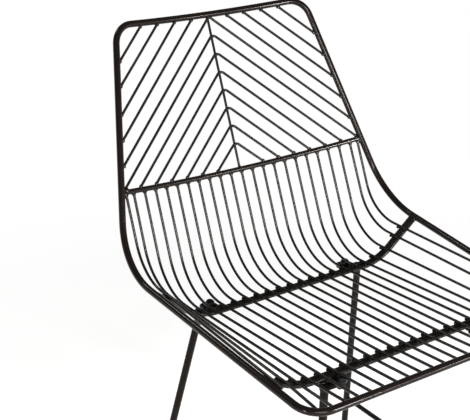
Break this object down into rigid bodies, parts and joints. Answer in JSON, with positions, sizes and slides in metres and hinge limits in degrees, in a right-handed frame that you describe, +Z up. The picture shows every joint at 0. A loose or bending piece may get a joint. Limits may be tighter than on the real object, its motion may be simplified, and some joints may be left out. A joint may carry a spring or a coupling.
{
  "type": "wire mesh chair",
  "caption": "Dining chair of welded round bar and wire: leaning back of chevron wires bowed to the sitter, dished wire seat, and splayed straight legs bolted under it.",
  "frame": {"origin": "on the floor, under the middle of the whole chair", "axes": "+Z up, +Y towards the back of the chair, +X to the right of someone who looks along +Y"},
  "size_m": [0.4954, 0.5954, 0.7926],
  "materials": {
    "frame_coating": "satin black powder coat over welded steel",
    "fastener_black": "black plated steel",
    "glide_plastic": "moulded black plastic"
  },
  "bodies": {
    "root": {"back_hoop": "frame_coating", "back_spine": "frame_coating", "chevron_wire_01": "frame_coating", "chevron_wire_02": "frame_coating", "chevron_wire_03": "frame_coating", "chevron_wire_04": "frame_coating", "chevron_wire_05": "frame_coating", "chevron_wire_06": "frame_coating", "chevron_wire_07": "frame_coating", "chevron_wire_08": "frame_coating", "chevron_wire_09": "frame_coating", "chevron_wire_10": "frame_coating", "chevron_wire_11": "frame_coating", "chevron_wire_12": "frame_coating", "front_bracket_left": "frame_coating", "front_bracket_right": "frame_coating", "front_glide_left": "glide_plastic", "front_glide_right": "glide_plastic", "front_leg_left": "frame_coating", "front_leg_plate_left": "frame_coating", "front_leg_plate_right": "frame_coating", "front_leg_right": "frame_coating", "front_rod_back": "frame_coating", "front_rod_fore": "frame_coating", "leg_bolts": "fastener_black", "leg_nuts": "fastener_black", "rear_bracket_left": "frame_coating", "rear_bracket_right": "frame_coating", "rear_glide_left": "glide_plastic", "rear_glide_right": "glide_plastic", "rear_leg_left": "frame_coating", "rear_leg_plate_left": "frame_coating", "rear_leg_plate_right": "frame_coating", "rear_leg_right": "frame_coating", "rear_rod_back": "frame_coating", "rear_rod_fore": "frame_coating", "seat_hoop": "frame_coating", "seat_wire_00": "frame_coating", "seat_wire_01": "frame_coating", "seat_wire_02": "frame_coating", "seat_wire_03": "frame_coating", "seat_wire_04": "frame_coating", "seat_wire_05": "frame_coating", "seat_wire_06": "frame_coating", "seat_wire_07": "frame_coating", "seat_wire_08": "frame_coating", "seat_wire_09": "frame_coating", "seat_wire_10": "frame_coating", "seat_wire_11": "frame_coating", "side_stretcher_left": "frame_coating", "side_stretcher_right": "frame_coating", "waist_crossbar": "frame_coating"}
  },
  "joints": []
}
